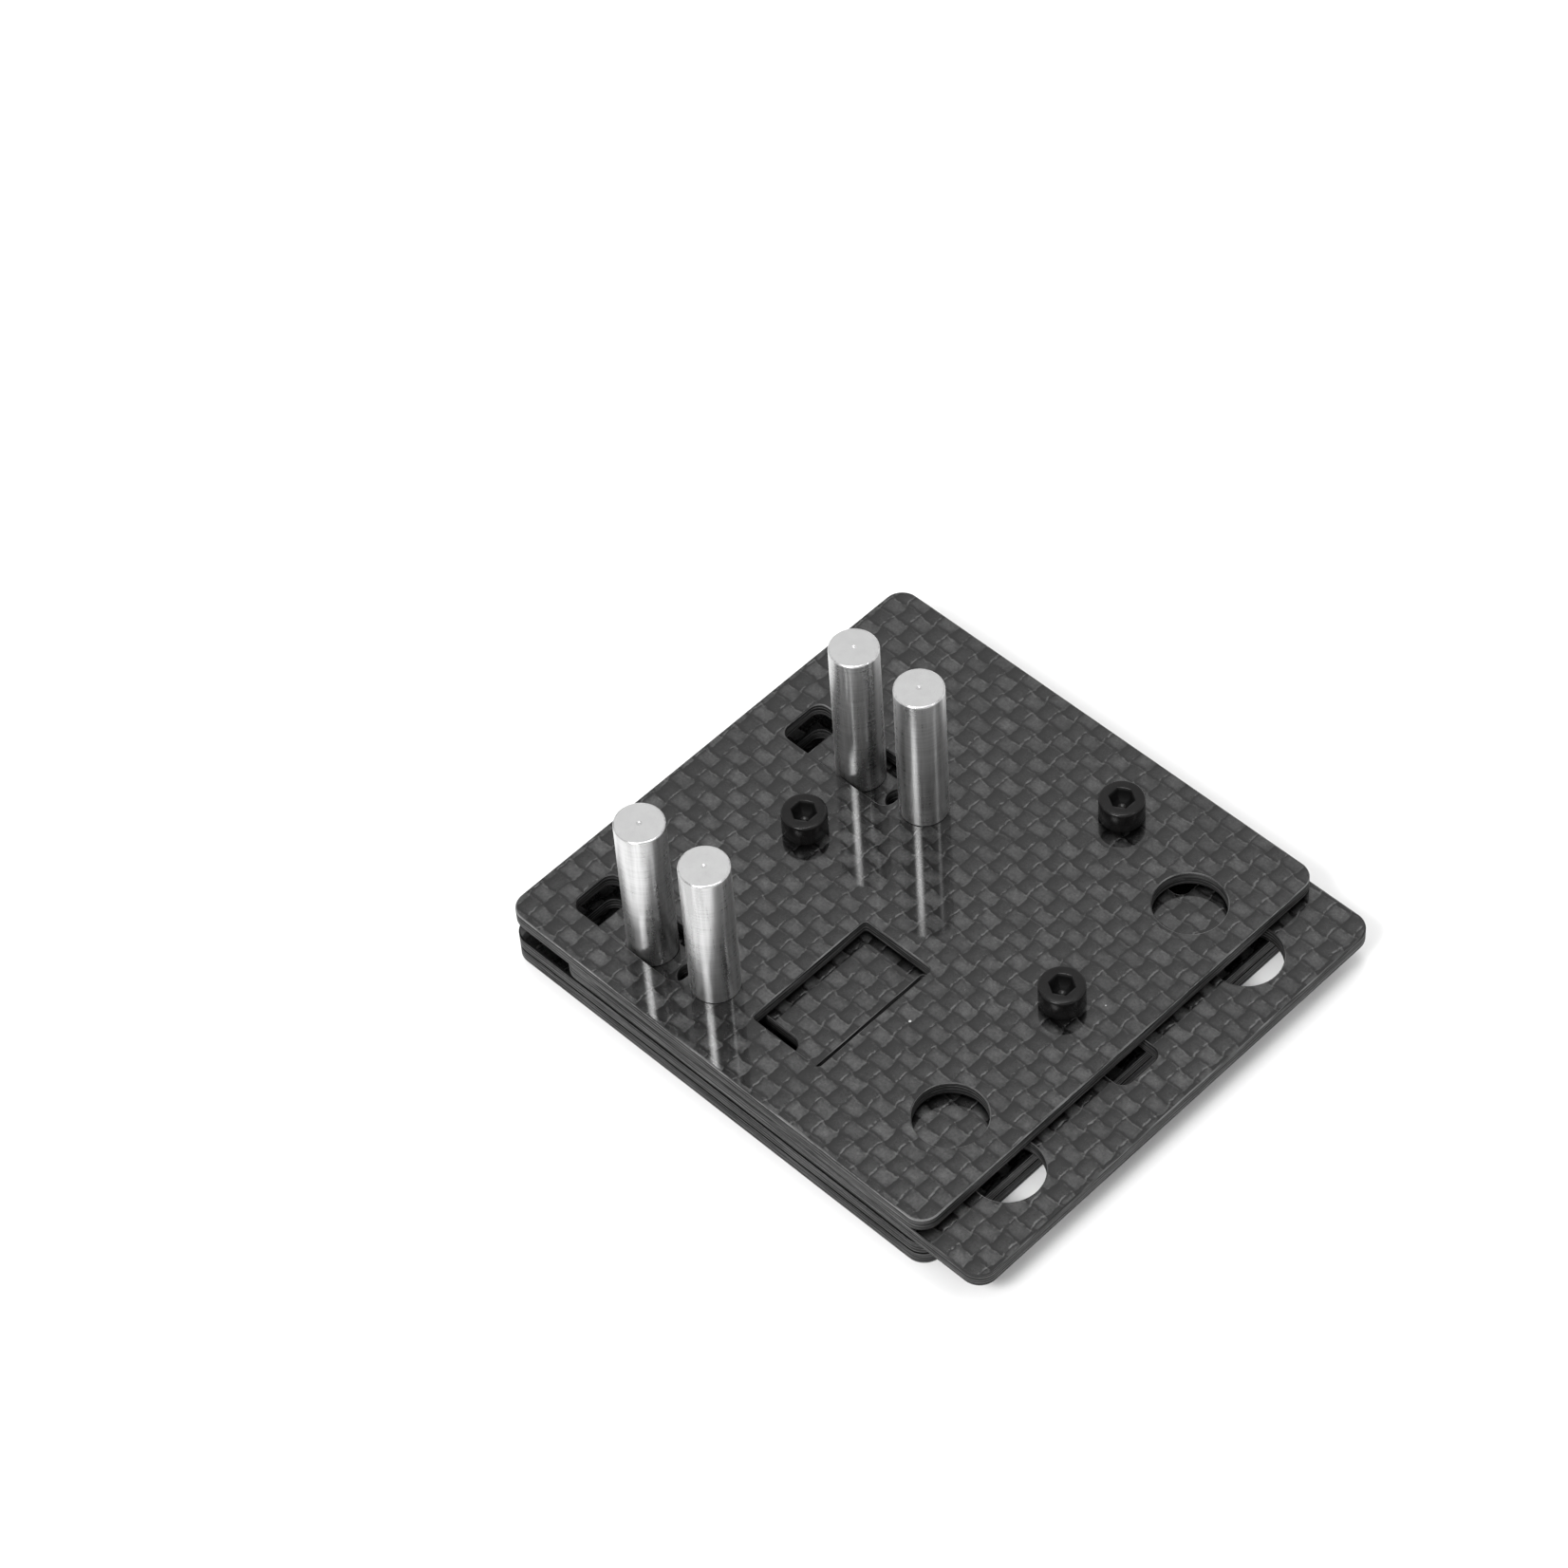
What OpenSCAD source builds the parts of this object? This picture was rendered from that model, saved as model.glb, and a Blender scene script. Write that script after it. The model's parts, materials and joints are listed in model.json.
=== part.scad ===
// Sliding-jaw soldering stand made of stacked carbon-fibre plates.
// A slide plate runs between the middle plate and the top plate. It carries two posts, which close on two
// fixed posts and grip a wire. A window and two round holes in the plates grip a connector the same way.
// Origin: centre of the base plate's underside. +Z up, +X the way the slide plate moves to close the jaws.

/* [Plates] */
// Side of each square plate
plate_side = 66; // [65:0.5:80]
// Thickness of each plate
plate_t = 2; // [1.9:0.1:3]
// Corner radius of each plate
plate_corner_r = 2.4; // [1.5:0.1:4]
// Radius of the screw holes in the plates
screw_hole_r = 1.6; // [1.55:0.05:1.7]

/* [Slide] */
// Space above the slide plate, and again below it
slide_play = 0.2; // [0.15:0.05:0.4]
// How far the slide plate stands out of the stack at rest
slide_rest = 8.5; // [7:0.5:9]
// Travel from rest that opens the jaws
slide_open = 6.8; // [3:0.1:7]
// Travel from rest that closes the jaws
slide_close = 3.9; // [1:0.1:4]
// Half width of the slots in the slide plate that the spacers run in
spacer_slot_half_w = 3.3; // [3.2:0.05:3.5]
// Half width of the slots in the slide plate that the post screws run in
screw_slot_half_w = 1.7; // [1.65:0.05:2]

/* [Posts] */
// Post diameter
post_d = 6; // [5:0.1:6]
// Length of the posts that stand on the top plate
fixed_post_len = 21.4; // [15:0.1:30]
// Length of the posts that stand on the slide plate
sliding_post_len = 22.6; // [16:0.1:32]
// X of the fixed posts
fixed_post_x = -7.4; // [-7.6:0.1:-7.2]
// Space between the jaws at rest
jaw_gap = 4.3; // [4.1:0.1:4.4]
// Chamfer at both ends of a post
post_chamfer = 0.25; // [0.1:0.05:0.5]

/* [Openings] */
// Half width of the slots that the sliding posts run in
guide_half_w = 3.3; // [3.2:0.05:3.5]
// Radius of the two connector holes
connector_r = 4.4; // [3:0.1:4.6]
// Size of the connector window along X
window_x = 10.5; // [8:0.1:11]
// Size of the connector window along Y
window_y = 18.6; // [12:0.1:18.6]

/* [Fasteners] */
// Radius of a cap screw's head
cap_head_r = 2.75; // [2.6:0.05:2.9]
// Height of a cap screw's head
cap_head_h = 3; // [2.5:0.1:3.4]
// Width across flats of a nut
nut_flats = 5.5; // [5:0.1:5.5]
// Height of a nut
nut_h = 1.8; // [1.4:0.1:1.8]

/* [Hidden] */
$fn = 96;

eps = 0.01;
half = plate_side / 2;

// Heights of the stack
middle_z = plate_t;
gap_z = 2 * plate_t;
slide_z = gap_z + slide_play;
slide_top = slide_z + plate_t;
top_z = slide_top + slide_play;
deck_z = top_z + plate_t;
spacer_h = top_z - gap_z;

// Plan positions, as [x, y]
post_r = post_d / 2;
post_y = [-24.5, 10];
sliding_post_x = fixed_post_x - post_d - jaw_gap;
clamp_points = [[-15.6, -1.5], [10.4, 24.5], [23.4, 0]];
connector_points = [[24.9, -20], [24.9, 20]];
fixed_points = [for (y = post_y) [fixed_post_x, y]];
sliding_points = [for (y = post_y) [sliding_post_x, y]];
screwed_points = concat(clamp_points, fixed_points);

// Rectangular openings, as [x0, y0, x1, y1]
window = [-1, -25.2, -1 + window_x, -25.2 + window_y];
window_corner_r = 0.5;
slide_window_inset = 0.5;
guide_corner_r = 1.5;

// Slots are longer than the travel, so the slide plate never stops against an end
end_play = 0.3;
guide_x = [sliding_post_x - slide_open - post_r - end_play, sliding_post_x + slide_close + post_r + end_play];
spacer_r = 3;
slot_front = spacer_r + 0.7;
slot_corner_r = 1.4;

// How far back a slot reaches from a point, to let what stands there with radius r pass
function travel_back(r) = slide_rest + slide_close + r + end_play;

// Fasteners, with threads as plain cylinders
thread_r = 1.5;
socket_r = 1.25 / cos(30);
small_socket_r = 1 / cos(30);
cap_screw_len = 8;
post_screw_len = 14;
slider_screw_len = 6;
flat_head_r = 3;
flat_head_h = flat_head_r - screw_hole_r;
button_head_r = 2.85;
button_head_h = 1.65;
button_sphere_r = (pow(button_head_r, 2) + pow(button_head_h, 2)) / (2 * button_head_h);

// Rectangle from corner to corner with round corners, as a flat shape
module rounded_rect(box, r) {
    w = box[2] - box[0];
    d = box[3] - box[1];
    translate([box[0], box[1]]) {
        translate([r, 0]) square([w - 2 * r, d]);
        translate([0, r]) square([w, d - 2 * r]);
        for (x = [r, w - r], y = [r, d - r]) translate([x, y]) circle(r);
    }
}

module blank_outline() {
    rounded_rect([-half, -half, half, half], plate_corner_r);
}

// Window and round holes that grip a connector. inset makes the window narrower on its -X side
module connector_openings(inset = 0) {
    rounded_rect([window[0] + inset, window[1], window[2], window[3]], window_corner_r);
    for (p = connector_points) translate(p) circle(connector_r);
}

// Slots that the sliding posts and their screw heads run in
module guide_slots() {
    for (y = post_y) {
        rounded_rect([guide_x[0], y - guide_half_w, guide_x[1], y + guide_half_w], guide_corner_r);
    }
}

// Slot along X from x0 to x1 with half-round ends, as a flat shape
module round_slot(x0, x1, y, r) {
    translate([x0 + r, y - r]) square([x1 - x0 - 2 * r, 2 * r]);
    for (x = [x0 + r, x1 - r]) translate([x, y]) circle(r);
}

// Slots in the slide plate that let the spacers and the post screws pass over the whole travel
module travel_slots() {
    for (p = clamp_points) {
        rounded_rect([p[0] - travel_back(spacer_r), p[1] - spacer_slot_half_w,
            p[0] + slot_front, p[1] + spacer_slot_half_w], slot_corner_r);
    }
    for (p = fixed_points) {
        round_slot(p[0] - travel_back(thread_r), p[0] + slot_front, p[1], screw_slot_half_w);
    }
}

module screw_holes(points) {
    for (p = points) translate(p) circle(screw_hole_r);
}

module base_plate() {
    color("#2b2c2e") difference() {
        linear_extrude(plate_t) difference() {
            blank_outline();
            screw_holes(fixed_points);
            for (p = clamp_points) translate(p) circle(r = (nut_flats / 2 + 0.05) / cos(30), $fn = 6);
        }
        for (p = fixed_points) {
            translate([p[0], p[1], -eps]) {
                cylinder(r1 = flat_head_r + eps, r2 = screw_hole_r, h = flat_head_h + eps);
            }
        }
    }
}

module middle_plate() {
    color("#303134") translate([0, 0, middle_z]) linear_extrude(plate_t) difference() {
        blank_outline();
        connector_openings();
        guide_slots();
        screw_holes(screwed_points);
    }
}

module slide_plate() {
    color("#3a3b3f") translate([slide_rest, 0, slide_z]) linear_extrude(plate_t) difference() {
        blank_outline();
        connector_openings(slide_window_inset);
        travel_slots();
        translate([-slide_rest, 0]) screw_holes(sliding_points);
    }
}

module top_plate() {
    color("#34353a") translate([0, 0, top_z]) linear_extrude(plate_t) difference() {
        blank_outline();
        connector_openings();
        guide_slots();
        screw_holes(screwed_points);
    }
}

// Turned post with chamfered ends, a tapped hole from below and a centre mark on top
module post(len, tapped) {
    mark_r = 0.4;
    mark_h = 0.25;
    difference() {
        rotate_extrude() {
            polygon([[0, 0], [post_r - post_chamfer, 0], [post_r, post_chamfer],
                [post_r, len - post_chamfer], [post_r - post_chamfer, len], [0, len]]);
        }
        translate([0, 0, -eps]) cylinder(r = thread_r, h = tapped + eps);
        translate([0, 0, len - mark_h]) cylinder(r1 = 0, r2 = mark_r + eps, h = mark_h + eps);
    }
}

module fixed_post(i) {
    tapped = post_screw_len - deck_z + 1.5;
    color("#c9ccd0") translate([fixed_points[i][0], fixed_points[i][1], deck_z]) {
        post(fixed_post_len, tapped);
    }
}

module sliding_post(i) {
    tapped = slider_screw_len - plate_t + 1.5;
    color("#c2c5c9") translate([sliding_points[i][0], sliding_points[i][1], slide_top]) {
        post(sliding_post_len, tapped);
    }
}

// Socket-head cap screw from above, into the nut in the base plate
module cap_screw(i) {
    rim = 0.25;
    socket_h = 1.5;
    color("#17171a") translate([clamp_points[i][0], clamp_points[i][1], deck_z]) difference() {
        union() {
            rotate_extrude() {
                polygon([[0, 0], [cap_head_r, 0], [cap_head_r, cap_head_h - rim],
                    [cap_head_r - rim, cap_head_h], [0, cap_head_h]]);
            }
            translate([0, 0, -cap_screw_len]) cylinder(r = thread_r, h = cap_screw_len + eps);
        }
        translate([0, 0, cap_head_h - socket_h]) cylinder(r = socket_r, h = socket_h + eps, $fn = 6);
    }
}

// Round spacer that keeps the top plate off the slide plate
module spacer(i) {
    color("#9aa0a6") translate([clamp_points[i][0], clamp_points[i][1], gap_z]) difference() {
        cylinder(r = spacer_r, h = spacer_h);
        translate([0, 0, -eps]) cylinder(r = screw_hole_r, h = spacer_h + 2 * eps);
    }
}

// Thin hex nut, held from turning by the base plate's hex hole
module nut(i) {
    color("#55585c") translate([clamp_points[i][0], clamp_points[i][1], middle_z - nut_h]) difference() {
        cylinder(r = nut_flats / 2 / cos(30), h = nut_h, $fn = 6);
        translate([0, 0, -eps]) cylinder(r = thread_r, h = nut_h + 2 * eps);
    }
}

// Flat-head screw from below, through the whole stack into a fixed post
module post_screw(i) {
    socket_h = 1;
    color("#1c1c1f") translate([fixed_points[i][0], fixed_points[i][1], 0]) difference() {
        union() {
            cylinder(r1 = flat_head_r, r2 = screw_hole_r, h = flat_head_h);
            cylinder(r = thread_r, h = post_screw_len);
        }
        translate([0, 0, -eps]) cylinder(r = small_socket_r, h = socket_h + eps, $fn = 6);
    }
}

// Low domed screw from below, through the slide plate into a sliding post
module slider_screw(i) {
    socket_h = 0.9;
    color("#1c1c1f") translate([sliding_points[i][0], sliding_points[i][1], slide_z]) difference() {
        union() {
            cylinder(r = thread_r, h = slider_screw_len);
            intersection() {
                translate([0, 0, -button_head_h]) cylinder(r = button_head_r, h = button_head_h);
                translate([0, 0, button_sphere_r - button_head_h]) sphere(button_sphere_r);
            }
        }
        translate([0, 0, -button_head_h - eps]) cylinder(r = small_socket_r, h = socket_h + eps, $fn = 6);
    }
}

base_plate();
middle_plate();
slide_plate();
top_plate();
fixed_post(0);  // fixed_post_left
fixed_post(1);  // fixed_post_right
sliding_post(0);  // sliding_post_left
sliding_post(1);  // sliding_post_right
cap_screw(0);  // cap_screw_rear
cap_screw(1);  // cap_screw_right
cap_screw(2);  // cap_screw_front
spacer(0);  // spacer_rear
spacer(1);  // spacer_right
spacer(2);  // spacer_front
nut(0);  // nut_rear
nut(1);  // nut_right
nut(2);  // nut_front
post_screw(0);  // post_screw_left
post_screw(1);  // post_screw_right
slider_screw(0);  // slider_screw_left
slider_screw(1);  // slider_screw_right
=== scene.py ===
"""Looks of the sliding-jaw soldering stand: carbon-fibre plates, turned aluminium posts and black screws.

Everything is in metres, in the frame of the CAD part: Z up, X the way the slide plate closes the jaws.
"""
import json
import math

import bmesh
import bpy
from mathutils import Matrix, Vector
from mathutils.geometry import tessellate_polygon


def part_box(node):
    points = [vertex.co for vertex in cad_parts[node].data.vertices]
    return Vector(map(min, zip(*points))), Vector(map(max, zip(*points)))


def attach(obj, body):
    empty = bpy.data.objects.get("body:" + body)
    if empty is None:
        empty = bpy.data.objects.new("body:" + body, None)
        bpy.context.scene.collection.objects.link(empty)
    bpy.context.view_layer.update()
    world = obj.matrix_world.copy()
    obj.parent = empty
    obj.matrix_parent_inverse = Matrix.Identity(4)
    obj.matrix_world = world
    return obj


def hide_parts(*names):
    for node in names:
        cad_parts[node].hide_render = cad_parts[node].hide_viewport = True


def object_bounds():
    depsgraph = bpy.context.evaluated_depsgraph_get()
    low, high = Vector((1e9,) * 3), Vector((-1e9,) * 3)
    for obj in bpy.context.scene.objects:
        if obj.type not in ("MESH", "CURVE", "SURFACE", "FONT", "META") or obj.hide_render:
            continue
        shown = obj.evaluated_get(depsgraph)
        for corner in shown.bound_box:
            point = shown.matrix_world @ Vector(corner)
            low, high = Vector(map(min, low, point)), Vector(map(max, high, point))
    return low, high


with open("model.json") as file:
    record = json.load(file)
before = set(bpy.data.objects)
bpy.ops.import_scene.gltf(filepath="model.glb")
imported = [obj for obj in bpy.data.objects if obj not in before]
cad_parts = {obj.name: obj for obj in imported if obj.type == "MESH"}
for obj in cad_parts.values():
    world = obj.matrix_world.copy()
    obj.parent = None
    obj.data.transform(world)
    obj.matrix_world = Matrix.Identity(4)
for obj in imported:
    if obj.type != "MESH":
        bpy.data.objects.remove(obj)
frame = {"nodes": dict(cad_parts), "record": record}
cad_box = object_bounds()

MM = 0.001

PLATES = {"base_plate": "carbon_base", "middle_plate": "carbon_middle",
          "slide_plate": "carbon_slide", "top_plate": "carbon_top"}
# Plates that lie on another one, and plates with another one on top: the rims where they meet are painted
# near black, as shade between the plates
ON_ANOTHER = ("middle_plate", "slide_plate")
UNDER_ANOTHER = ("base_plate", "middle_plate")
BODY_OF = {node: body
           for body, nodes in frame["record"]["behaviour"]["bodies"].items() for node in nodes}

# Eased rims of a plate, round its outline and round its openings
OUTER_RIM = 0.18 * MM
INNER_RIM = 0.12 * MM
RIM_STEPS = 3
SHARP = math.radians(40)
SCREW_SHARP = math.radians(24)

# Turned pieces: steps round the axis, a multiple of 6 for the hex sockets, and steps round an eased corner
TURN_STEPS = 96
CORNER_STEPS = 4

# Places of the materials of a plate's skin, after the cloth, which is at 0
EDGE, RIM, SEAM = 1, 2, 3

# Laminate: side of one cell of the weave and thickness of a pair of plies
CELL = 2.26 * MM
PLY = 0.5 * MM

# Palest grey of the cloth, and palest grey and specular level of cut edges, of rims, painted paler as a
# highlight, and of seams between plates, painted near black as shade between them
CLOTH_TONE = 0.11
EDGE_TONE, EDGE_SHINE = 0.15, 0.15
RIM_HIGHLIGHT_TONE, RIM_SHINE = 0.22, 0.35
SEAM_SHADE_TONE, SEAM_SHINE = 0.004, 0.03

# Heads of the cap screws: half the hex across its flats, the same at its lip, and depths of lip and socket
SOCKET_FLATS = 1.25 * MM
SOCKET_LIP = 1.42 * MM
LIP_DEPTH = 0.25 * MM
SOCKET_DEPTH = 1.5 * MM
DRILL = 0.5 * MM


# ---------------------------------------------------------------- node helpers

class Graph:
    """Short calls for building one material's nodes."""

    def __init__(self, name):
        self.material = bpy.data.materials.new(name)
        self.material.use_nodes = True
        self.tree = self.material.node_tree
        self.shader = self.tree.nodes["Principled BSDF"]

    def node(self, kind, **settings):
        made = self.tree.nodes.new(kind)
        for key, value in settings.items():
            setattr(made, key, value)
        return made

    def put(self, socket, value):
        if isinstance(value, bpy.types.NodeSocket):
            self.tree.links.new(value, socket)
        else:
            socket.default_value = value

    def math(self, operation, *values, clamp=False):
        made = self.node("ShaderNodeMath", operation=operation, use_clamp=clamp)
        for socket, value in zip(made.inputs, values):
            self.put(socket, value)
        return made.outputs[0]

    def blend(self, share, a, b):
        """a where share is 0, b where it is 1, for numbers."""
        made = self.node("ShaderNodeMix", data_type="FLOAT")
        self.put(made.inputs["Factor"], share)
        self.put(made.inputs[2], a)
        self.put(made.inputs[3], b)
        return made.outputs[0]

    def blend_color(self, share, a, b):
        """The same for colours."""
        made = self.node("ShaderNodeMix", data_type="RGBA")
        self.put(made.inputs["Factor"], share)
        self.put(made.inputs[6], a)
        self.put(made.inputs[7], b)
        return made.outputs[2]

    def ramp(self, value, start, end, low=0.0, high=1.0):
        """low where value is below start, high where it is above end, and smooth between them."""
        made = self.node("ShaderNodeMapRange", interpolation_type="SMOOTHSTEP")
        for socket, number in zip(made.inputs, (value, start, end, low, high)):
            self.put(socket, number)
        return made.outputs[0]

    def place(self):
        """The point in the part's own frame, in metres, and its x, y and z."""
        point = self.node("ShaderNodeTexCoord").outputs["Object"]
        split = self.node("ShaderNodeSeparateXYZ")
        self.put(split.inputs[0], point)
        return point, split.outputs[0], split.outputs[1], split.outputs[2]

    def join(self, x, y, z=0.0):
        made = self.node("ShaderNodeCombineXYZ")
        for socket, value in zip(made.inputs, (x, y, z)):
            self.put(socket, value)
        return made.outputs[0]

    def stretched(self, x, y, z, along_z):
        """The point with its z scaled, for grain that lies flat (over 1) or stands upright (under 1)."""
        return self.join(x, y, self.math("MULTIPLY", z, along_z))

    def shifted(self, value, noise, reach):
        """The value moved up or down by noise, which is 0.5 where it stays."""
        return self.math("ADD", value, self.math("MULTIPLY", self.math("SUBTRACT", noise, 0.5), reach))

    def times(self, *values):
        """The product of all the values."""
        product = values[0]
        for value in values[1:]:
            product = self.math("MULTIPLY", product, value)
        return product

    def noise(self, vector, scale, detail=2.0, rough=0.5):
        made = self.node("ShaderNodeTexNoise")
        self.put(made.inputs["Vector"], vector)
        self.put(made.inputs["Scale"], scale)
        self.put(made.inputs["Detail"], detail)
        self.put(made.inputs["Roughness"], rough)
        return made.outputs["Fac"]

    def random(self, vector):
        made = self.node("ShaderNodeTexWhiteNoise", noise_dimensions="3D")
        self.put(made.inputs["Vector"], vector)
        return made.outputs["Value"]

    def bump(self, height, distance, strength):
        made = self.node("ShaderNodeBump")
        self.put(made.inputs["Height"], height)
        self.put(made.inputs["Distance"], distance)
        self.put(made.inputs["Strength"], strength)
        return made.outputs[0]

    def set(self, **values):
        """Sets or links inputs of the shader, with _ for the spaces in their names."""
        for name, value in values.items():
            self.put(self.shader.inputs[name.replace("_", " ")], value)


def grey(value):
    return (value, value, value, 1.0)


# ---------------------------------------------------------------- materials

def weave_cells(g, point, x, y, shift):
    """Where a point is in the weave, in x and y: place in cells, whole cell numbers and share of the cell."""
    px = g.math("ADD", g.math("DIVIDE", x, CELL), shift[0])
    py = g.math("ADD", g.math("DIVIDE", y, CELL), shift[1])

    # The tows wander a little, so the cells aren't perfect squares
    slow, wander_reach = 0.4, 0.35
    slow_x, slow_y = g.math("MULTIPLY", px, slow), g.math("MULTIPLY", py, slow)
    wander = g.noise(g.join(slow_x, slow_y, shift[0]), 1.0)
    drift = g.noise(g.join(slow_y, slow_x, 7.0 + shift[1]), 1.0)
    px = g.shifted(px, wander, wander_reach)
    py = g.shifted(py, drift, wander_reach)

    # A tow on top shows for more than a cell along and for less than a cell across
    def half_turns(value):
        return g.math("MULTIPLY", value, math.pi)

    def rounded_square_wave(value):
        steep = g.math("MULTIPLY", g.math("SINE", half_turns(value)), 1.5)
        return g.math("MAXIMUM", g.math("MINIMUM", steep, 1.0), -1.0)

    longer, shorter = 0.065, 0.06
    longer_x = g.times(rounded_square_wave(py), g.math("COSINE", half_turns(px)), longer)
    shorter_y = g.times(rounded_square_wave(px), g.math("COSINE", half_turns(py)), shorter)
    px = g.math("ADD", px, longer_x)
    py = g.math("SUBTRACT", py, shorter_y)

    # The sides of the tows are uneven
    fine, uneven_reach = 1300.0, 0.22
    px = g.shifted(px, g.noise(point, fine), uneven_reach)
    py = g.shifted(py, g.noise(g.join(y, x, shift[1]), fine), uneven_reach)

    column, row = g.math("FLOOR", px), g.math("FLOOR", py)
    return px, py, column, row, g.math("SUBTRACT", px, column), g.math("SUBTRACT", py, row)


def carbon_cloth(name, shift):
    """Plain-weave carbon fibre under a clear gloss coat, with painted shade and painted highlights in its
    colour.

    shift moves the weave, in cells, so no two plates match.
    """
    g = Graph(name)
    point, x, y, _ = g.place()
    px, py, column, row, fx, fy = weave_cells(g, point, x, y, shift)
    along_y = g.math("FLOORED_MODULO", g.math("ADD", column, row), 2.0)

    # A tow rises in the middle of its cell and dives under its neighbours at both ends
    along = g.blend(along_y, fx, fy)
    across = g.blend(along_y, fy, fx)
    arch = g.math("SINE", g.math("MULTIPLY", along, math.pi))
    side = g.math("MULTIPLY", g.math("ABSOLUTE", g.math("SUBTRACT", across, 0.5)), 2.0)
    crown = g.math("SUBTRACT", 1.0, g.math("POWER", side, 3.0))
    lengthwise, crosswise = 0.8, 26.0
    fibre_x = g.math("MULTIPLY", px, g.blend(along_y, lengthwise, crosswise))
    fibre_y = g.math("MULTIPLY", py, g.blend(along_y, crosswise, lengthwise))
    fibres = g.noise(g.join(fibre_x, fibre_y, g.math("MULTIPLY", along_y, 5.0)), 1.0, 3.0, 0.65)
    height = g.math("ADD", g.math("MULTIPLY", arch, crown), g.math("MULTIPLY", fibres, 0.15))

    # Painted shade: tows along Y are painted darker, standing in for how the light catches the fibres, and
    # each cell is painted lighter towards one border; every cell also differs at random
    mottle = g.noise(point, 1100.0, 3.0, 0.6)
    painted_tow_shade = g.blend(along_y, g.blend(fy, 0.22, 0.37), g.blend(fx, 0.05, 0.14))
    cell_tone = g.blend(g.random(g.join(column, row, shift[0])), 0.72, 1.28)
    grain = g.blend(g.noise(point, 3000.0, 3.0, 0.7), 0.1, 1.9)
    fibre_tone = g.blend(fibres, 0.7, 1.3)
    # Painted shade: each cell is painted lighter on the crown of its tow and darker where the tow dives under
    # its neighbours
    painted_dome_shade = g.blend(g.math("MULTIPLY", g.math("POWER", arch, 0.5), crown), 0.25, 1.5)

    # Painted highlight: a pale line along one border of each cell, where light would catch the step of the
    # coat; at the opposite border the dark join between tows is partly real and partly painted shade
    gap_and_shade = g.math("MINIMUM", g.ramp(fy, 0.0, 0.2, 0.15, 1.0), g.ramp(fx, 0.0, 0.18, 0.35, 1.0))
    highlight_x = g.math("MULTIPLY", g.ramp(fx, 0.84, 0.94), g.ramp(fx, 0.94, 1.0, 1.0, 0.3))
    highlight_y = g.math("MULTIPLY", g.ramp(fy, 0.82, 0.93), g.ramp(fy, 0.93, 1.0, 1.0, 0.3))
    pale = g.blend(along_y, g.math("ADD", highlight_y, g.math("MULTIPLY", highlight_x, 0.5)),
                   g.math("ADD", g.math("MULTIPLY", highlight_x, 1.3), g.math("MULTIPLY", highlight_y, 0.4)))
    painted_highlight = g.times(pale, g.ramp(mottle, 0.42, 0.6, 0.05, 1.2), 0.36)
    tow = g.times(painted_tow_shade, cell_tone, grain, fibre_tone, painted_dome_shade, gap_and_shade, g.blend(mottle, 0.4, 1.6))
    color = g.blend_color(g.math("ADD", tow, painted_highlight), grey(0.002), grey(CLOTH_TONE))

    # A few specks of dust on the resin
    dust = g.node("ShaderNodeTexVoronoi", feature="F1")
    g.put(dust.inputs["Vector"], point)
    g.put(dust.inputs["Scale"], 210.0)
    speck_size = g.math("MULTIPLY", g.math("POWER", g.random(g.join(dust.outputs["Color"], 0.3)), 12.0), 0.05)
    speck = g.math("LESS_THAN", dust.outputs["Distance"], speck_size)
    color = g.blend_color(speck, color, grey(0.45))

    waves = g.math("ADD", g.noise(point, 260.0), g.math("MULTIPLY", g.noise(point, 3200.0), 0.12))
    direction = g.node("ShaderNodeMix", data_type="VECTOR")
    g.put(direction.inputs["Factor"], along_y)
    g.put(direction.inputs[4], (1.0, 0.0, 0.0))
    g.put(direction.inputs[5], (0.0, 1.0, 0.0))
    g.set(Base_Color=color, Roughness=g.blend(fibres, 0.34, 0.46), Metallic=1.0, Anisotropic=0.6,
          Tangent=direction.outputs[1], Normal=g.bump(height, 0.05 * MM, 0.8),
          Coat_Weight=1.0, Coat_Roughness=0.045, Coat_IOR=1.5,
          Coat_Normal=g.bump(waves, 0.004 * MM, 0.5))
    return g.material


def laminate_edge(name, palest, shine):
    """The cut edge of a plate: a few plies show as fine lines in dull black.

    palest is the grey of those lines and shine the specular level.
    """
    g = Graph(name)
    _, x, y, z = g.place()
    ripple = g.noise(g.stretched(x, y, z, 3.0), 140.0, 3.0)
    plies = g.math("ADD", g.math("DIVIDE", z, PLY), g.math("MULTIPLY", ripple, 0.2))
    phase = g.math("FRACT", plies)
    line = g.math("MULTIPLY", g.ramp(phase, 0.5, 0.62), g.ramp(phase, 0.72, 0.85, 1.0, 0.0))
    which = g.random(g.join(g.math("FLOOR", plies), 0.0, 0.0))
    line = g.math("MULTIPLY", line, g.blend(which, 0.35, 1.0))
    grain = g.noise(g.stretched(x, y, z, 8.0), 1800.0, 3.0, 0.7)
    strands = g.noise(g.stretched(x, y, z, 45.0), 130.0, 2.0, 0.6)
    line = g.math("MULTIPLY", line, g.ramp(grain, 0.35, 0.6, 0.2, 1.0))
    tone = g.math("ADD", g.math("MULTIPLY", line, 0.8), g.ramp(strands, 0.42, 0.7, 0.0, 0.45), clamp=True)
    color = g.blend_color(tone, grey(0.004), grey(palest))
    g.set(Base_Color=color, Roughness=g.blend(grain, 0.5, 0.7), Metallic=0.0, Specular_IOR_Level=shine,
          Normal=g.bump(g.math("ADD", grain, line), 0.015 * MM, 0.6))
    return g.material


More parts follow.
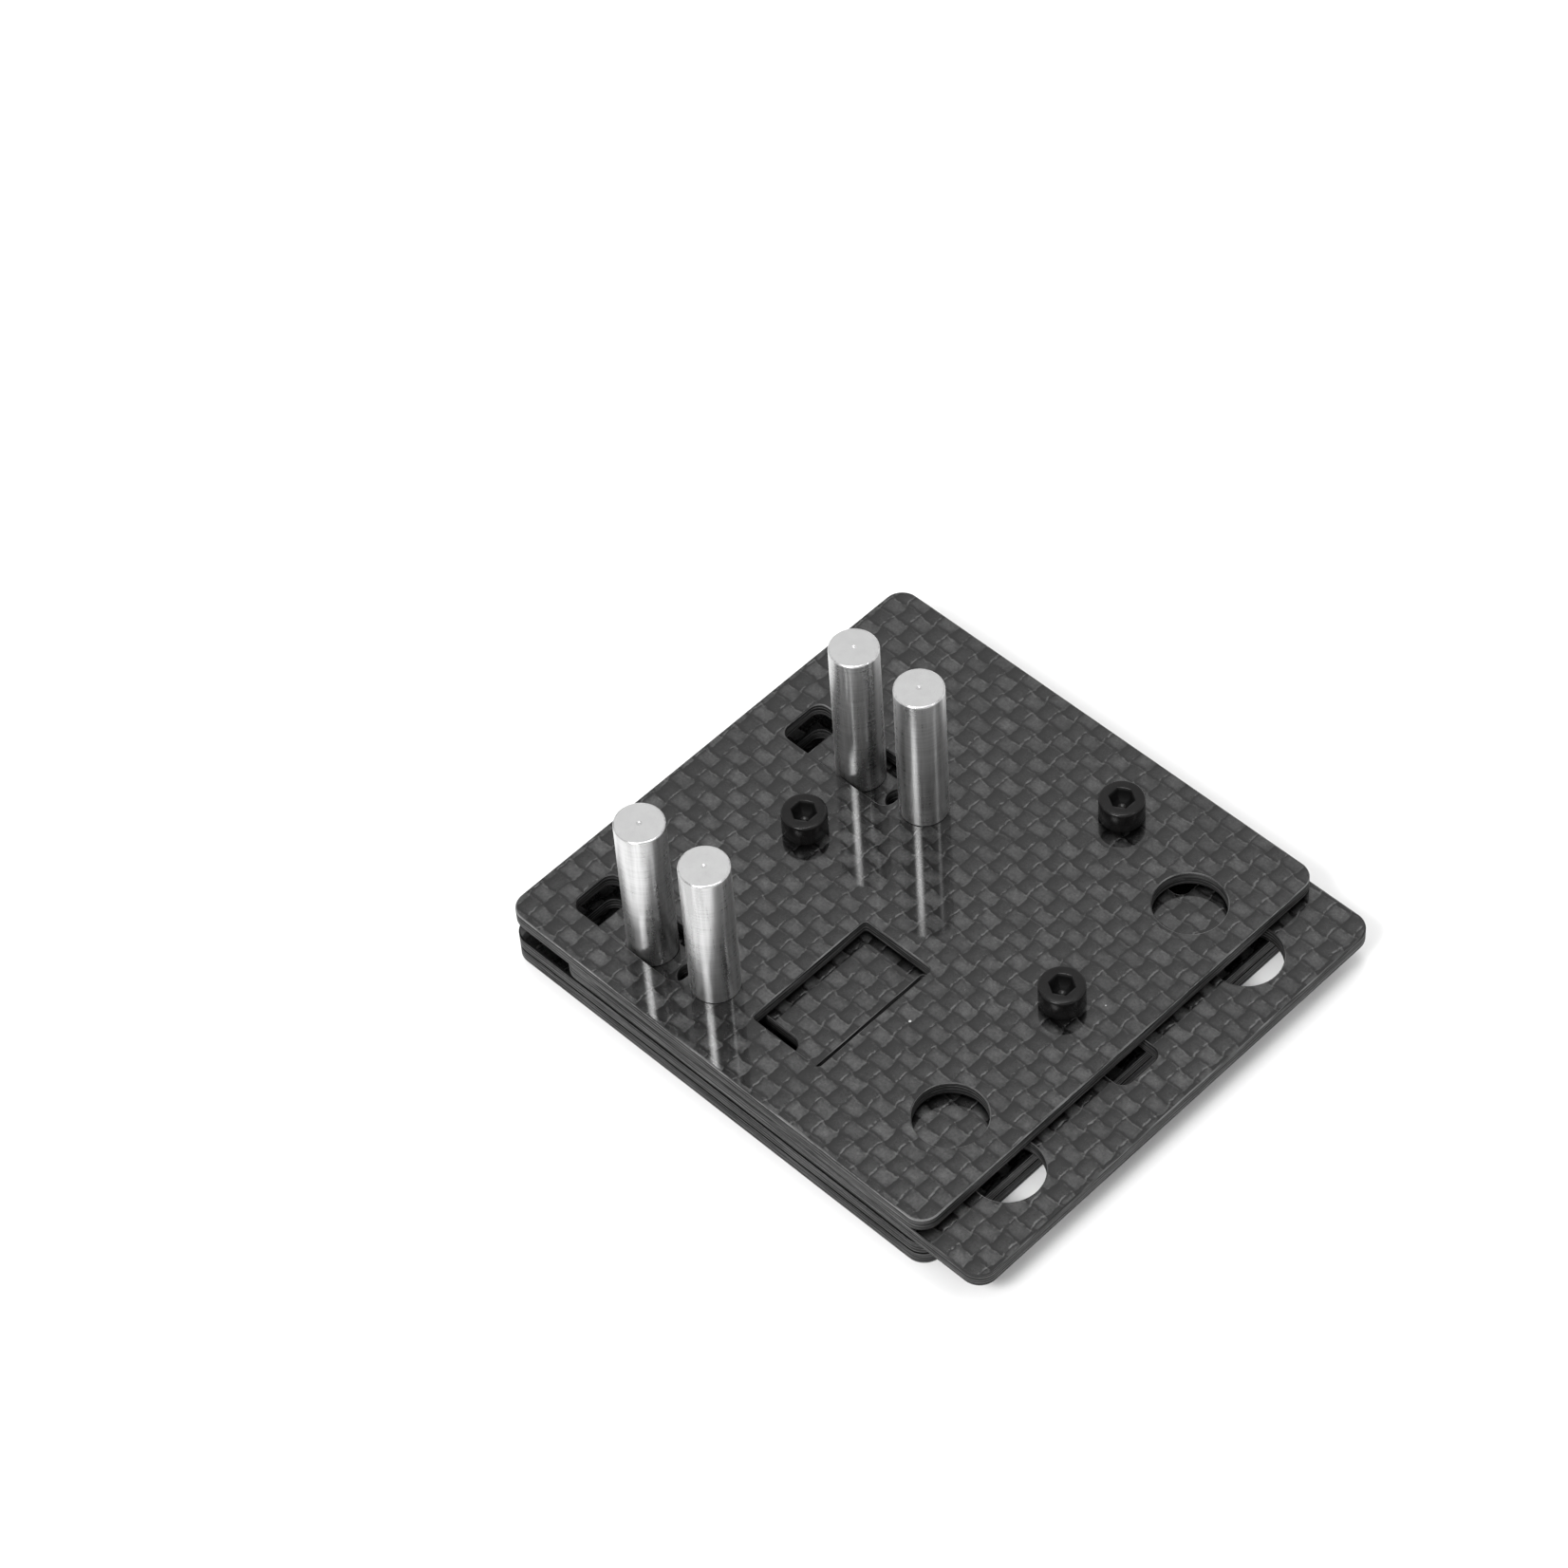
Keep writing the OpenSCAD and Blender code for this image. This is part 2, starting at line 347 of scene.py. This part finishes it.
def turned_aluminium(name):
    """Side of a drawn and turned rod, with fine lines round it that spread a highlight up and down."""
    g = Graph(name)
    _, x, y, z = g.place()
    rings = g.noise(g.join(g.math("MULTIPLY", x, 0.02), g.math("MULTIPLY", y, 0.02), z), 5000.0, 3.0, 0.6)
    streaks = g.noise(g.stretched(x, y, z, 0.06), 900.0, 3.0, 0.6)
    scratch = g.noise(g.join(g.math("MULTIPLY", x, 20.0), g.math("MULTIPLY", y, 20.0), z), 160.0, 4.0, 0.7)
    tone = g.math("ADD", g.math("MULTIPLY", streaks, 0.7), g.math("MULTIPLY", rings, 0.3))
    color = g.blend_color(g.ramp(tone, 0.35, 0.65), grey(0.42), grey(0.64))
    tangent = g.node("ShaderNodeTangent", direction_type="RADIAL", axis="Z")
    scratched = g.math("MULTIPLY", g.ramp(scratch, 0.62, 0.75), 0.1)
    g.set(Base_Color=color, Metallic=1.0, Anisotropic=0.75, Anisotropic_Rotation=0.25,
          Roughness=g.math("ADD", g.blend(tone, 0.23, 0.33), scratched),
          Tangent=tangent.outputs[0], Normal=g.bump(streaks, 0.004 * MM, 0.6))
    return g.material


def faced_aluminium(name):
    """End face of a post, faced off on the lathe and handled since."""
    g = Graph(name)
    point, *_ = g.place()
    cloud = g.noise(point, 700.0, 4.0, 0.6)
    scratch = g.ramp(g.noise(point, 2400.0, 2.0, 0.7), 0.6, 0.7)
    color = g.blend_color(g.math("SUBTRACT", cloud, g.math("MULTIPLY", scratch, 0.3)), grey(0.54), grey(0.62))
    g.set(Base_Color=color, Metallic=1.0, Roughness=g.blend(cloud, 0.18, 0.23),
          Normal=g.bump(cloud, 0.002 * MM, 0.3))
    return g.material


def black_oxide(name):
    """Oiled black steel."""
    g = Graph(name)
    point, *_ = g.place()
    grain = g.noise(point, 2600.0, 3.0, 0.6)
    patch = g.noise(point, 420.0, 3.0)
    color = g.blend_color(g.math("MULTIPLY", patch, grain), grey(0.002), (0.012, 0.011, 0.011, 1))
    g.set(Base_Color=color, Metallic=0.0, Roughness=g.blend(patch, 0.2, 0.3), Specular_IOR_Level=0.2,
          Normal=g.bump(grain, 0.004 * MM, 0.5))
    return g.material


def socket_shade_oxide(name):
    """The same finish down in a socket, rougher, and painted darker and duller as shade in the recess."""
    g = Graph(name)
    point, *_ = g.place()
    grain = g.noise(point, 3400.0, 3.0, 0.6)
    color = g.blend_color(grain, grey(0.001), grey(0.004))
    g.set(Base_Color=color, Roughness=g.blend(grain, 0.5, 0.7), Specular_IOR_Level=0.08,
          Normal=g.bump(grain, 0.01 * MM, 0.6))
    return g.material


def plain_steel(name, level, rough):
    """Bare machined metal for nuts and spacers."""
    g = Graph(name)
    _, x, y, z = g.place()
    grain = g.noise(g.stretched(x, y, z, 14.0), 900.0, 3.0, 0.6)
    color = g.blend_color(grain, grey(level * 0.75), grey(level * 1.15))
    g.set(Base_Color=color, Metallic=1.0, Roughness=g.blend(grain, rough * 0.8, rough * 1.3),
          Normal=g.bump(grain, 0.004 * MM, 0.5))
    return g.material


def matte_floor(name):
    g = Graph(name)
    point, *_ = g.place()
    g.set(Base_Color=g.blend_color(g.noise(point, 30.0), grey(0.8), grey(0.84)), Roughness=0.6)
    return g.material


# ---------------------------------------------------------------- plates

def top_loops(node):
    """Outlines of a plate's top face as lists of (x, y), the material always on the left."""
    mesh = frame["nodes"][node].data
    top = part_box(node)[1].z

    # Vertices at one place get one number
    places, number = {}, {}
    for index, vertex in enumerate(mesh.vertices):
        key = tuple(round(c * 1e7) for c in vertex.co)
        number[index] = places.setdefault(key, (len(places), vertex.co.copy()))[0]
    where = dict(places.values())

    # An edge of the top face that no second face of it shares is on an outline
    edges = set()
    for face in mesh.polygons:
        if face.normal.z > 0.9 and abs(face.center.z - top) < 0.01 * MM:
            ids = [number[v] for v in face.vertices]
            edges.update(zip(ids, ids[1:] + ids[:1]))
    follow = {a: b for a, b in edges if (b, a) not in edges}
    loops = []
    while follow:
        start, after = follow.popitem()
        loop = [start]
        while after != start:
            loop.append(after)
            after = follow.pop(after)
        loops.append([(where[i].x, where[i].y) for i in loop])
    return loops


def inset(loop, distance):
    """The loop moved into the material by distance."""
    moved = []
    for i, (x, y) in enumerate(loop):
        before, after = Vector(loop[i - 1]), Vector(loop[(i + 1) % len(loop)])
        here = Vector((x, y))
        a, b = (here - before).normalized(), (after - here).normalized()
        left_a, left_b = Vector((-a.y, a.x)), Vector((-b.y, b.x))
        way = left_a + left_b
        moved.append(here + way * (distance / max(way.dot(left_a), 0.2)))
    return moved


def loop_centre(loop):
    return Vector((sum(p[0] for p in loop), sum(p[1] for p in loop))) / len(loop)


def is_outline(loop):
    """True for a plate's outline and false for an opening, which runs the other way round."""
    return sum(x * loop[i - 1][1] - loop[i - 1][0] * y for i, (x, y) in enumerate(loop)) < 0


def rim_profile(rim, low, high):
    """Depth into the material and height, from the bottom face up to the top face, with both rims eased."""
    eased = []
    for step in range(RIM_STEPS + 1):
        turn = math.pi / 2 * step / RIM_STEPS
        eased.append((rim * (1 - math.sin(turn)), low + rim * (1 - math.cos(turn))))
    return eased + [(depth, low + high - z) for depth, z in reversed(eased)]


def countersunk_profile(loop, head_radius, low, high):
    """The same for a hole with a screw's flat head sunk in its bottom."""
    sink = head_radius - (Vector(loop[0]) - loop_centre(loop)).length
    return [(sink, low), (0.0, low + sink)] + rim_profile(INNER_RIM, low, high)[RIM_STEPS + 1:]


def plate_skin(node, materials):
    """The plate again, with every rim eased, so that its edges catch the light."""
    low, high = (corner.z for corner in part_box(node))
    flat_heads = ("post_screw_left", "post_screw_right") if node == "base_plate" else ()
    heads = [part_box(screw) for screw in flat_heads]
    bm = bmesh.new()
    bottoms, tops = [], []
    for loop in top_loops(node):
        profile = rim_profile(OUTER_RIM if is_outline(loop) else INNER_RIM, low, high)
        for a, b in heads:
            if (loop_centre(loop) - ((a + b) / 2).xy).length < MM:
                profile = countersunk_profile(loop, (b.x - a.x) / 2, low, high)
        rings = [[bm.verts.new((p[0], p[1], z)) for p in inset(loop, depth)] for depth, z in profile]
        for number, (a, b) in enumerate(zip(rings, rings[1:])):
            look = EDGE
            # Bottom rims on another plate and top rims under one get painted shade; other top rims get a
            # painted highlight
            if number < RIM_STEPS:
                look = SEAM if node in ON_ANOTHER else EDGE
            elif len(rings) - 2 - number < RIM_STEPS:
                look = SEAM if node in UNDER_ANOTHER else RIM
            for i in range(len(a)):
                j = (i + 1) % len(a)
                side = bm.faces.new((a[i], a[j], b[j], b[i]))
                side.material_index = look
                side.smooth = True
        bottoms.append(rings[0])
        tops.append(rings[-1])
    for loops, up in ((bottoms, False), (tops, True)):
        flat = [v for loop in loops for v in loop]
        for a, b, c in tessellate_polygon([[v.co for v in loop] for loop in loops]):
            face = bm.faces.new((flat[a], flat[b], flat[c]))
            face.normal_update()
            if (face.normal.z > 0) != up:
                face.normal_flip()
        for loop in loops:
            for i in range(len(loop)):
                bm.edges.get((loop[i - 1], loop[i])).smooth = False
    piece = finished(bm, node + "_skin", materials, BODY_OF[node])
    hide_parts(node)


def finished(bm, name, materials, body, sharp=SHARP):
    """Turns a bmesh into a piece that rides on a body. Edges sharper than sharp stay crisp."""
    for edge in bm.edges:
        if len(edge.link_faces) == 2 and edge.calc_face_angle(0) > sharp:
            edge.smooth = False
    mesh = bpy.data.meshes.new(name)
    bm.to_mesh(mesh)
    bm.free()
    for material in materials:
        mesh.materials.append(material)
    piece = bpy.data.objects.new(name, mesh)
    bpy.context.scene.collection.objects.link(piece)
    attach(piece, body)
    return piece


# ---------------------------------------------------------------- turned pieces

def lathe(bm, centre, profile, radius_at=None):
    """Turns a profile of (radius, z) round the vertical through centre. A radius of 0 closes it at a point.

    radius_at(ring number, radius, angle) may bend a ring out of round, as for a hex socket.
    """
    rings = []
    for number, (radius, z) in enumerate(profile):
        if radius == 0:
            rings.append([bm.verts.new((centre.x, centre.y, z))])
            continue
        ring = []
        for step in range(TURN_STEPS):
            angle = 2 * math.pi * step / TURN_STEPS
            r = radius_at(number, radius, angle) if radius_at else radius
            ring.append(bm.verts.new((centre.x + r * math.cos(angle), centre.y + r * math.sin(angle), z)))
        rings.append(ring)
    for a, b in zip(rings, rings[1:]):
        for i in range(TURN_STEPS):
            j = (i + 1) % TURN_STEPS
            corners = [a[i % len(a)], a[j % len(a)], b[j % len(b)], b[i % len(b)]]
            face = bm.faces.new(list(dict.fromkeys(corners)))
            face.smooth = True


def eased_corner(radius, z, ease, outward_up):
    """Points round the top (or bottom) outer corner of a turned piece, from the side to the end face."""
    points = []
    for step in range(CORNER_STEPS + 1):
        turn = math.pi / 2 * step / CORNER_STEPS
        rise = ease * (1 - math.sin(turn))
        points.append((radius - ease * (1 - math.cos(turn)), z - rise if outward_up else z + rise))
    return points


def turned_post(node, side_material, end_material):
    """A post with eased ends and the lathe's centre mark on top."""
    low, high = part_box(node)
    radius = (high.x - low.x) / 2
    mark = 0.32 * MM
    bottom = eased_corner(radius, low.z, 0.15 * MM, False)[::-1]
    top = eased_corner(radius, high.z, 0.2 * MM, True)
    centre_mark = [(mark, high.z), (mark * 0.8, high.z - 0.02 * MM), (mark * 0.5, high.z - 0.02 * MM),
                   (mark * 0.3, high.z - 0.08 * MM), (0, high.z - 0.1 * MM)]
    bm = bmesh.new()
    lathe(bm, (low + high) / 2, [(0, low.z)] + bottom + top + centre_mark)
    bm.normal_update()
    for face in bm.faces:
        if abs(face.normal.z) > 0.99:
            face.material_index = 1
            face.smooth = False
    piece = finished(bm, node + "_turned", (side_material, end_material), BODY_OF[node])
    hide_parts(node)


def thread_profile(top, bottom):
    """A threaded shank seen from the side, from the bottom up. The thread is rings, not a helix."""
    pitch, deep, outer = 0.5 * MM, 0.27 * MM, 1.49 * MM
    turns = int((top - bottom) / pitch)
    points = [(0, bottom), (outer - deep, bottom)]
    for turn in range(turns):
        z = bottom + turn * pitch
        points += [(outer, z + 0.45 * pitch), (outer, z + 0.55 * pitch), (outer - deep, z + 0.95 * pitch)]
    return points


def cap_screw(node, material, socket_material):
    """Socket-head cap screw: eased head, hex socket with a drilled bottom, and a threaded shank."""
    low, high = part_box(node)
    centre = (low + high) / 2
    radius = (high.x - low.x) / 2
    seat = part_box("top_plate")[1].z
    floor_z = high.z - SOCKET_DEPTH

    def hexagon(number, r, angle):
        if number in hex_rings:
            return r / math.cos((angle + math.pi / 6) % (math.pi / 3) - math.pi / 6)
        return r

    shank = thread_profile(seat, low.z)
    head = [(1.5 * MM, seat), (radius - 0.08 * MM, seat), (radius, seat + 0.08 * MM)]
    head += eased_corner(radius, high.z, 0.28 * MM, True)
    mouth = SOCKET_LIP / math.cos(math.pi / 6) + 0.03 * MM
    hex_part = [(SOCKET_LIP, high.z), (SOCKET_FLATS, high.z - LIP_DEPTH), (SOCKET_FLATS, floor_z)]
    drilled = [(DRILL, floor_z - 0.15 * MM), (0, floor_z - 0.45 * MM)]
    profile = shank + head + [(mouth, high.z)] + hex_part + drilled
    first = len(profile) - len(drilled) - len(hex_part)
    hex_rings = range(first, first + len(hex_part))
    bm = bmesh.new()
    lathe(bm, centre, profile, radius_at=hexagon)
    # Faces down in the socket take the second, darker material: painted shade in the recess
    for face in bm.faces:
        middle = face.calc_center_median()
        if seat < middle.z < high.z - 0.01 * MM and DRILL < (middle - centre).xy.length < 0.99 * mouth:
            face.material_index = 1
    piece = finished(bm, node + "_black", (material, socket_material), BODY_OF[node], SCREW_SHARP)
    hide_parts(node)


def dress_nodes(part, material):
    """Gives a material to every CAD node whose name contains part."""
    for name, node in frame["nodes"].items():
        if part in name:
            for place in node.material_slots:
                place.material = material


# ---------------------------------------------------------------- camera, light and floor

def camera():
    """Looks at the deck from the side that the slide plate stands out on, from well above."""
    azimuth, elevation, roll = math.radians(-47.93), math.radians(50.83), math.radians(-4.606)
    distance = 592.1 * MM
    aim = Vector((-21.93 * MM, 1.46 * MM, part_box("top_plate")[1].z))
    forward = Vector((math.sin(azimuth) * math.cos(elevation), math.cos(azimuth) * math.cos(elevation),
                      -math.sin(elevation)))
    right = Vector((math.cos(azimuth), -math.sin(azimuth), 0))
    up = right.cross(forward)
    level, tilt = math.cos(roll), math.sin(roll)
    columns = (right * level + up * tilt, up * level - right * tilt, -forward)
    data = bpy.data.cameras.new("camera")
    data.sensor_width = 36
    data.lens = 116.15
    data.clip_start, data.clip_end = 0.01, 20
    made = bpy.data.objects.new("camera", data)
    made.matrix_world = Matrix.Translation(aim - forward * distance) @ Matrix(columns).transposed().to_4x4()
    bpy.context.scene.collection.objects.link(made)
    bpy.context.scene.camera = made


def softbox(name, azimuth, elevation, distance, size, power):
    """An area light that faces the stand and fades towards its rim.

    Azimuth is where it stands, from +X towards +Y, in degrees.
    """
    a, e = math.radians(azimuth), math.radians(elevation)
    way = Vector((math.cos(a) * math.cos(e), math.sin(a) * math.cos(e), math.sin(e)))
    data = bpy.data.lights.new(name, "AREA")
    data.shape = "RECTANGLE"
    data.size, data.size_y = size
    data.energy = power
    data.use_nodes = True
    tree = data.node_tree
    place = tree.nodes.new("ShaderNodeNewGeometry").outputs["Parametric"]
    from_middle = tree.nodes.new("ShaderNodeVectorMath")
    from_middle.operation = "DISTANCE"
    tree.links.new(place, from_middle.inputs[0])
    from_middle.inputs[1].default_value = (0.5, 0.5, 0)
    fade = tree.nodes.new("ShaderNodeMapRange")
    fade.interpolation_type = "SMOOTHSTEP"
    tree.links.new(from_middle.outputs["Value"], fade.inputs[0])
    full_within, dark_beyond, strongest = 0.1, 0.55, 1.8
    for socket, value in zip(fade.inputs[1:5], (full_within, dark_beyond, strongest, 0.0)):
        socket.default_value = value
    tree.links.new(fade.outputs[0], tree.nodes["Emission"].inputs["Strength"])
    made = bpy.data.objects.new(name, data)
    made.matrix_world = Matrix.Translation(way * distance) @ way.to_track_quat("Z", "Y").to_matrix().to_4x4()
    bpy.context.scene.collection.objects.link(made)


def surroundings():
    """A pale room, brightest behind the stand, which is what the glossy deck reflects."""
    world = bpy.data.worlds.new("room")
    world.use_nodes = True
    tree = world.node_tree
    place = tree.nodes.new("ShaderNodeTexCoord")
    turn = tree.nodes.new("ShaderNodeVectorMath")
    turn.operation = "DOT_PRODUCT"
    tree.links.new(place.outputs["Generated"], turn.inputs[0])
    behind_and_above = (-0.6, 0.6, 0.53)
    turn.inputs[1].default_value = behind_and_above
    fade = tree.nodes.new("ShaderNodeMapRange")
    fade.interpolation_type = "SMOOTHSTEP"
    tree.links.new(turn.outputs["Value"], fade.inputs[0])
    dimmest, brightest = 0.7, 1.0
    for socket, value in zip(fade.inputs[1:5], (-0.5, 0.7, dimmest, brightest)):
        socket.default_value = value
    sky = tree.nodes["Background"]
    sky.inputs["Color"].default_value = (1, 1, 1, 1)
    tree.links.new(fade.outputs[0], sky.inputs["Strength"])
    bpy.context.scene.world = world


def floor():
    side = 3.0
    mesh = bpy.data.meshes.new("floor")
    bm = bmesh.new()
    bmesh.ops.create_grid(bm, x_segments=1, y_segments=1, size=side / 2)
    bm.to_mesh(mesh)
    bm.free()
    mesh.materials.append(matte_floor("floor"))
    made = bpy.data.objects.new("floor", mesh)
    made.location.z = cad_box[0].z
    bpy.context.scene.collection.objects.link(made)


# ---------------------------------------------------------------- the scene

bpy.context.scene.view_settings.view_transform = "Standard"
camera()
surroundings()
softbox("key", 138, 76, 0.9, (0.36, 0.3), 3.0)
softbox("front_left", -80, 50, 0.9, (0.42, 0.3), 10.0)
softbox("strip_right", 18, 49, 0.9, (0.06, 0.4), 1.0)
floor()

# Cut edges, and two copies of them: paler rims as a painted highlight and near-black seams as painted shade
# between plates
cut_looks = (laminate_edge("laminate_edge", EDGE_TONE, EDGE_SHINE),
             laminate_edge("laminate_rim_highlight", RIM_HIGHLIGHT_TONE, RIM_SHINE),
             laminate_edge("laminate_seam_shade", SEAM_SHADE_TONE, SEAM_SHINE))
for number, (plate, slot_name) in enumerate(PLATES.items()):
    cloth = carbon_cloth(slot_name, (0.37 * number + 0.2, 0.61 * number + 0.4))
    plate_skin(plate, (cloth,) + cut_looks)
post_side = turned_aluminium("turned_aluminium")
post_end = faced_aluminium("faced_aluminium")
oxide = black_oxide("black_oxide")
socket_oxide = socket_shade_oxide("socket_shade_oxide")
for name in frame["nodes"]:
    if name.startswith(("fixed_post", "sliding_post")):
        turned_post(name, post_side, post_end)
    if name.startswith("cap_screw"):
        cap_screw(name, oxide, socket_oxide)
dress_nodes("screw", oxide)
dress_nodes("spacer", plain_steel("spacer_metal", 0.6, 0.3))
dress_nodes("nut", plain_steel("nut_metal", 0.5, 0.35))
